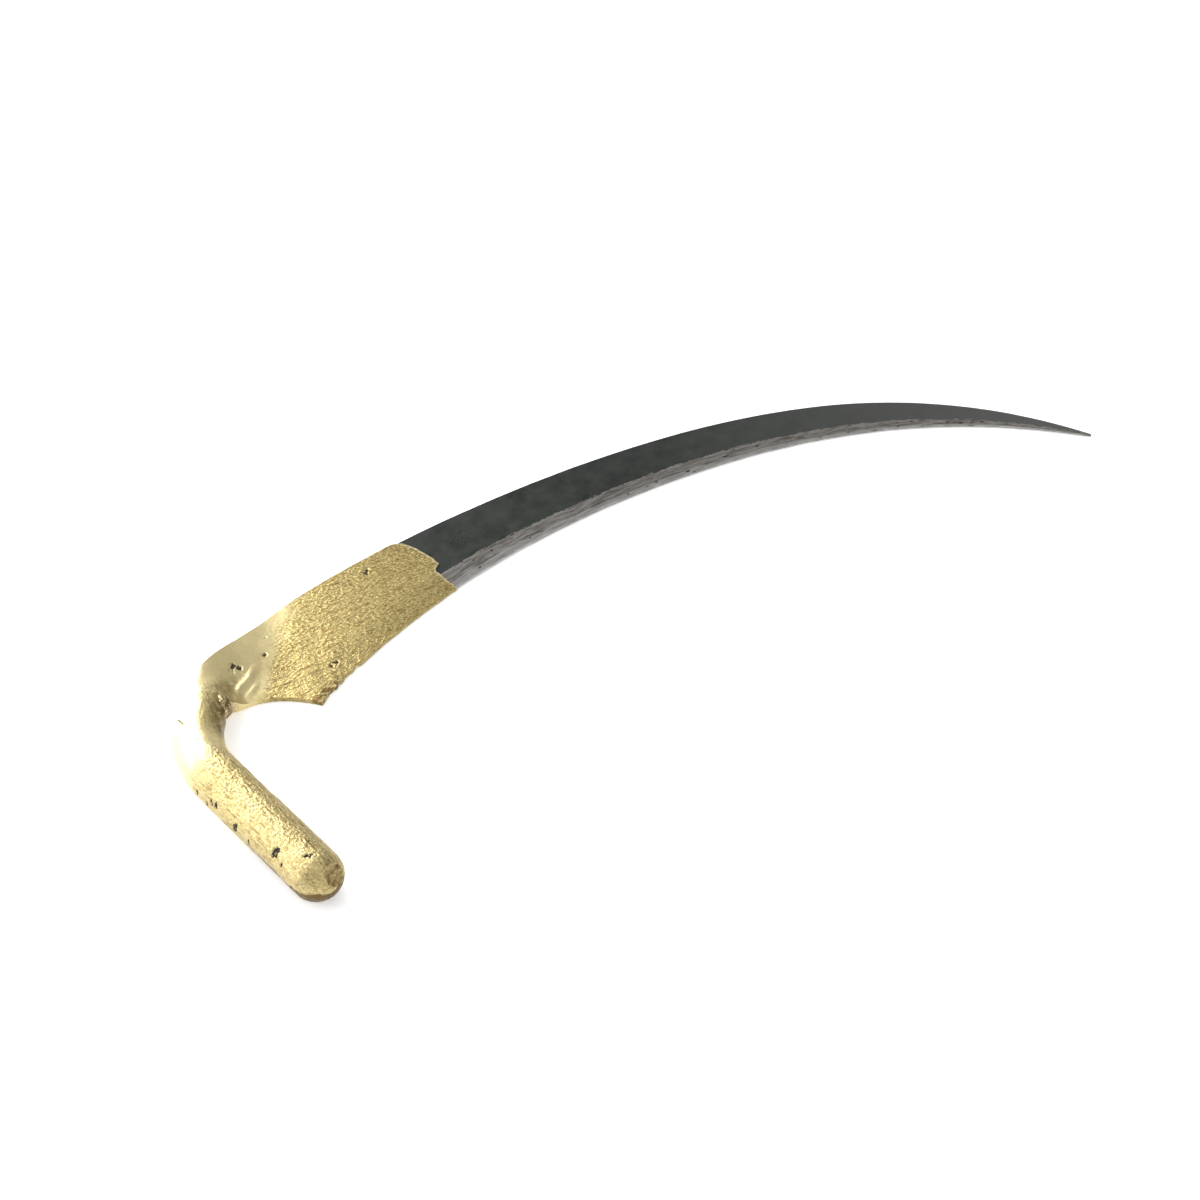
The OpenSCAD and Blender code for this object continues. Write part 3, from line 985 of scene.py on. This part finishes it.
def gold_material(name, bead=False):
    """Gold leaf over rough iron: pale on the grains, deep between them as painted shade, brown
    as painted shade in hollows, underneath and on the inner bend, browner at the heel's corner,
    and paler at the coat's end as a painted highlight.
    """
    g = Graph(name)
    at = g.where()
    low = g.attr("low")
    fine = g.noise(at, 1900.0, 3.0, 0.6)
    mid = g.noise(at, 520.0, 4.0, 0.6)
    broad = g.noise(at, 60.0, 3.0, 0.5)
    lay = g.attr("lay", "Vector")
    cells = g.voronoi(at, 1150.0) if bead else g.voronoi(g.stretch(lay, (0.6, 1.2, 1.2)), 1.0)
    aged = g.span(broad, 0.35, 0.65, 0.0, 0.3)
    if not bead:
        aged = g.math("ADD", aged, g.attr("aged"))
    colour = g.blend(aged, PALE_GOLD, MID_GOLD)
    if bead:
        colour = g.blend(g.span(mid, 0.40, 0.56), colour, GOLD_BROWN)
        # Painted shade: brown where the bead lies low between its lumps
        colour = g.blend(g.span(low, 0.3, 0.9, 0.0, 0.8), colour, GOLD_BROWN)
        g.set(Base_Color=colour, Metallic=0.85, Roughness=g.span(mid, 0.3, 0.7, 0.35, 0.6))
        normal = g.bump(cells, 0.5, 0.00035)
        g.set(Normal=g.bump(fine, 0.5, 0.00025, normal))
        return g.mat
    rough = g.attr("rough")
    grit = g.math("MAXIMUM", rough, 0.18)
    speckle = g.math("MULTIPLY", g.span(fine, 0.46, 0.70), grit)
    colour = g.blend(g.math("MULTIPLY", speckle, 0.85), colour, DEEP_GOLD)
    grain = g.math("MULTIPLY", g.span(cells, 0.42, 0.75), grit)
    colour = g.blend(g.math("MULTIPLY", grain, 0.45), colour, DEEP_GOLD)
    streak = g.noise(g.stretch(lay, (0.17, 1.0, 1.0)), 1.1, 3.0, 0.65, 0.5)
    streak = g.math("MULTIPLY", g.span(streak, 0.52, 0.60), rough)
    streak = g.math("MULTIPLY", streak, g.span(g.noise(lay, 0.25, 2.0), 0.35, 0.55, 0.25, 0.8))
    colour = g.blend(streak, colour, STREAK_BROWN)
    # Painted shade: deep gold where the coat lies low between the grains
    colour = g.blend(g.span(low, 0.15, 0.75, 0.0, 0.85), colour, DEEP_GOLD)
    broken = g.span(mid, 0.30, 0.60, 0.45, 1.1)
    # Brown from the mask: painted shade in hollows, underneath and on the inner bend, and
    # browner at the heel's corner
    stain_and_shade = g.math("MULTIPLY", g.attr("stain_and_shade"), broken)
    colour = g.blend(g.span(stain_and_shade, 0.08, 0.75, 0.0, 0.95), colour, GOLD_BROWN)
    nibble = g.span(g.noise(at, 2200.0, 2.0, 0.6), 0.25, 0.75, -0.42, 0.42)
    # Painted highlight: paler gold along the coat's end
    colour = g.blend(g.span(g.attr("lip"), 0.2, 0.9, 0.0, 0.6), colour, LIP_HIGHLIGHT_GOLD)
    chip = g.span(g.math("ADD", g.attr("chip"), nibble), 0.50, 0.68)
    colour = g.blend(chip, colour, CHIP_DARK)
    g.set(Base_Color=colour, Metallic=g.span(chip, 0.0, 1.0, 0.93, 0.0))
    g.set(Specular_IOR_Level=0.1)
    soft = g.math("ADD", g.span(mid, 0.3, 0.7, 0.31, 0.43),
                  g.math("MULTIPLY", rough, 0.06))
    g.set(Roughness=g.math("ADD", soft, g.math("MULTIPLY", chip, 0.4)))
    ripple = g.bump(mid, 0.14, 0.0006)
    normal = g.bump(cells, g.math("MULTIPLY", grit, 0.7), 0.00036, ripple)
    g.set(Normal=g.bump(fine, g.math("MULTIPLY", grit, 0.75), 0.00030, normal))
    return g.mat


SCALE_BLACK = rgb(0.018, 0.021, 0.018)
POINT_GREY = rgb(0.115, 0.117, 0.113)
BEVEL_DARK, BEVEL_LIGHT = rgb(0.10, 0.092, 0.08), rgb(0.26, 0.25, 0.232)
# A darker mottled patch of scale near the coat: run along the plate and width, in mm
DARK_PATCH = (88, 22, 0)


def scale_material():
    """Dark forge scale on the flat of the blade, ground metal on its bevel."""
    g = Graph("forge_scale_and_bevel")
    flow = g.attr("flow", "Vector")
    at = g.where()
    bevel = g.attr("bevel")
    jag = g.noise(g.stretch(flow, (0.30, 0.9, 1.0)), 1.0, 4.0, 0.7)
    edge_d = g.math("ADD", bevel, g.span(jag, 0.25, 0.75, -1.0, 1.0))
    ground = g.span(edge_d, -0.07, 0.07)
    mottle = g.noise(at, 130.0, 5.0, 0.62)
    fine = g.noise(at, 1100.0, 3.0, 0.6)
    cloud = g.noise(at, 28.0, 2.0, 0.5)
    dark = g.blend(g.span(mottle, 0.35, 0.68), SCALE_BLACK,
                   rgb(0.040, 0.043, 0.039))
    dark = g.blend(g.span(cloud, 0.4, 0.75, 0.0, 0.4), dark, rgb(0.034, 0.039, 0.037))
    run = g.node("SeparateXYZ", {0: flow}, out=0)
    dark = g.blend(g.span(run, 180.0, 400.0, 0.0, 0.85), dark, POINT_GREY)
    dark = g.blend(g.span(fine, 0.66, 0.78, 0.0, 0.35), dark, rgb(0.085, 0.085, 0.08))
    dark = g.blend(g.span(fine, 0.34, 0.24, 0.0, 0.5), dark, rgb(0.012, 0.012, 0.011))
    spot = g.node("VectorMath", {0: g.stretch(flow, (1, 1, 0)), 1: DARK_PATCH},
                  operation="DISTANCE", out="Value")
    patch = g.math("MULTIPLY", g.span(spot, 3, 9, 1.0, 0.0), g.span(fine, 0.45, 0.6))
    dark = g.blend(g.math("MULTIPLY", patch, 0.7), dark, rgb(0.012, 0.011, 0.009))
    streak = g.noise(g.stretch(flow, (0.10, 1.1, 1.0)), 1.0, 4.0, 0.7)
    streak_fine = g.noise(g.stretch(flow, (0.22, 3.2, 1.0)), 1.0, 3.0, 0.7)
    metal = g.blend(g.span(streak, 0.38, 0.62), BEVEL_DARK,
                    BEVEL_LIGHT)
    metal = g.blend(g.span(streak_fine, 0.54, 0.68, 0.0, 0.7), metal, rgb(0.06, 0.054, 0.046))
    metal = g.blend(g.span(streak_fine, 0.42, 0.3, 0.0, 0.5), metal, rgb(0.36, 0.35, 0.335))
    pit = g.span(g.math("ADD", g.attr("pit"), g.span(fine, 0, 1, -0.3, 0.3)), 0.5, 0.7)
    metal = g.blend(pit, metal, rgb(0.05, 0.045, 0.04))
    near = g.span(g.math("ABSOLUTE", edge_d), 0.0, 0.45, 0.6, 0.0)
    metal = g.blend(near, metal, rgb(0.30, 0.29, 0.275))
    # Painted highlight: lighter grey along the spine's edge
    spine = g.math("MULTIPLY", g.span(g.attr("spine"), 0.0, 0.9, 0.55, 0.0),
                   g.span(mottle, 0.35, 0.6))
    dark = g.blend(spine, dark, rgb(0.20, 0.198, 0.19))
    g.set(Base_Color=g.blend(ground, dark, metal))
    g.set(Metallic=g.span(ground, 0.0, 1.0, 0.0, 0.5), Specular_IOR_Level=0.14)
    rough_scale = g.span(mottle, 0.3, 0.7, 0.50, 0.64)
    g.set(Roughness=g.math("ADD", rough_scale, g.math("MULTIPLY", ground, -0.08)))
    bump_scale = g.bump(mottle, 0.22, 0.0003)
    bump_fine = g.bump(fine, 0.18, 0.00015, bump_scale)
    g.set(Normal=g.bump(streak_fine, g.math("MULTIPLY", ground, 0.4), 0.0002, bump_fine))
    return g.mat


def steel_material():
    """The whiter, brushed strip of edge steel, grey with scale on its underside."""
    g = Graph("ground_edge_steel")
    flow = g.attr("flow", "Vector")
    at = g.where()
    streak = g.noise(g.stretch(flow, (0.10, 1.2, 1.0)), 1.0, 4.0, 0.7)
    fine = g.noise(g.stretch(flow, (0.22, 3.4, 1.0)), 1.0, 3.0, 0.7)
    mottle = g.noise(at, 170.0, 4.0, 0.6)
    colour = g.blend(g.span(streak, 0.32, 0.66), rgb(0.17, 0.163, 0.15), rgb(0.37, 0.36, 0.345))
    colour = g.blend(g.span(fine, 0.56, 0.74, 0.0, 0.5), colour, rgb(0.10, 0.094, 0.083))
    colour = g.blend(g.span(mottle, 0.6, 0.75, 0.0, 0.4), colour, rgb(0.15, 0.137, 0.12))
    pit = g.span(g.math("ADD", g.attr("pit"), g.span(mottle, 0, 1, -0.3, 0.3)), 0.5, 0.7)
    colour = g.blend(pit, colour, rgb(0.05, 0.045, 0.04))
    near = g.node("SeparateXYZ", {0: flow}, out=1)
    keen = g.math("MULTIPLY", g.span(near, 0.1, 1.3, 0.6, 0.0), g.span(mottle, 0.3, 0.6))
    colour = g.blend(keen, colour, rgb(0.62, 0.61, 0.59))
    colour = g.blend(g.attr("on_top"), g.blend(0.55, colour, rgb(0.10, 0.097, 0.092)), colour)
    g.set(Base_Color=colour, Metallic=0.6)
    g.set(Roughness=g.span(streak, 0.3, 0.7, 0.36, 0.5))
    g.set(Normal=g.bump(fine, 0.35, 0.0002, g.bump(mottle, 0.15, 0.0003)))
    return g.mat


def iron_material():
    g = Graph("bare_bar_iron")
    at = g.where()
    mottle = g.noise(at, 150.0, 5.0, 0.6)
    fine = g.noise(at, 900.0, 3.0, 0.6)
    colour = g.blend(g.span(mottle, 0.35, 0.65), rgb(0.05, 0.045, 0.042),
                     rgb(0.11, 0.10, 0.092))
    colour = g.blend(g.span(fine, 0.6, 0.75, 0.0, 0.5), colour, rgb(0.16, 0.08, 0.04))
    g.set(Base_Color=colour, Metallic=0.5, Roughness=g.span(mottle, 0.3, 0.7, 0.5, 0.75))
    g.set(Normal=g.bump(fine, 0.3, 0.0002))
    return g.mat


gold = gold_material("gold_leaf_coat")
dress = [(heel, gold, "heel_coat", "gold_coat"), (tang, gold, "tang_coat", "grip_coat"),
         (bar, iron_material(), "tang_bar", "bar_iron"),
         (blade, scale_material(), "blade_body", "scaled_iron"),
         (edge, steel_material(), "edge_steel", "ground_steel"),
         (bead, gold_material("gilded_weld_metal", bead=True), "weld_bead", "weld_iron")]
for obj, material, node, slot in dress:
    obj.data.materials.append(material)
    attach(obj, "root")
    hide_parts(node)

# ---------------------------------------------------------------- floor, light and camera

FLOOR_GAP = 0.0002

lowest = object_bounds()[0].z
bpy.ops.mesh.primitive_plane_add(size=8, location=(0.2, 0.2, lowest - FLOOR_GAP))
floor = bpy.context.object
floor.name = "studio_floor"
floor_mat = Graph("floor_paper")
floor_mat.set(Base_Color=rgb(0.93, 0.93, 0.93), Roughness=0.9, Specular_IOR_Level=0.1,
              Emission_Color=rgb(1, 1, 1), Emission_Strength=0.38)
floor.data.materials.append(floor_mat.mat)


def soft_light(name, azimuth, elevation, far, size, watts, aim=(0.1, 0.04, 0.0)):
    """Area light aimed at the object, placed round it by azimuth and elevation in degrees."""
    a, e = math.radians(azimuth), math.radians(elevation)
    back = Vector((math.sin(a) * math.cos(e), -math.cos(a) * math.cos(e), math.sin(e)))
    data = bpy.data.lights.new(name, "AREA")
    data.shape = "SQUARE"
    data.size = size
    data.energy = watts
    obj = bpy.data.objects.new(name, data)
    obj.location = Vector(aim) + back * far
    obj.visible_camera = False
    obj.rotation_mode = "QUATERNION"
    obj.rotation_quaternion = (-back).to_track_quat("-Z", "Y")
    bpy.context.scene.collection.objects.link(obj)


soft_light("key_softbox", -172, 16, 1.4, 0.8, 7)
soft_light("top_softbox", -110, 74, 1.7, 2.4, 13)
soft_light("side_softbox", -128, 20, 1.4, 0.8, 9)
soft_light("front_fill", 10, 30, 1.8, 1.2, 5)
soft_light("bend_softbox", -190, 28, 0.22, 0.16, 0.75, (0.0, 0.05, 0.0))

world = bpy.data.worlds.new("studio_world")
world.use_nodes = True
background = world.node_tree.nodes["Background"]
background.inputs[0].default_value = rgb(1.0, 1.0, 1.0)
background.inputs[1].default_value = 0.50
bpy.context.scene.world = world
bpy.context.scene.view_settings.view_transform = "Standard"

AZIMUTH, ELEVATION, DISTANCE = math.radians(-41), math.radians(42), 0.987
VIEW_ANGLE = math.radians(28)
AIM_FROM_MIDDLE = Vector((-0.0225, -0.0091, -0.010))
middle = (Vector(cad_box[0]) + Vector(cad_box[1])) / 2
cam_data = bpy.data.cameras.new("camera")
cam_data.angle = VIEW_ANGLE
camera = bpy.data.objects.new("camera", cam_data)
back = Vector((math.sin(AZIMUTH) * math.cos(ELEVATION),
               -math.cos(AZIMUTH) * math.cos(ELEVATION), math.sin(ELEVATION)))
camera.location = middle + AIM_FROM_MIDDLE + DISTANCE * back
camera.rotation_mode = "QUATERNION"
camera.rotation_quaternion = (-back).to_track_quat("-Z", "Y")
bpy.context.scene.collection.objects.link(camera)
bpy.context.scene.camera = camera
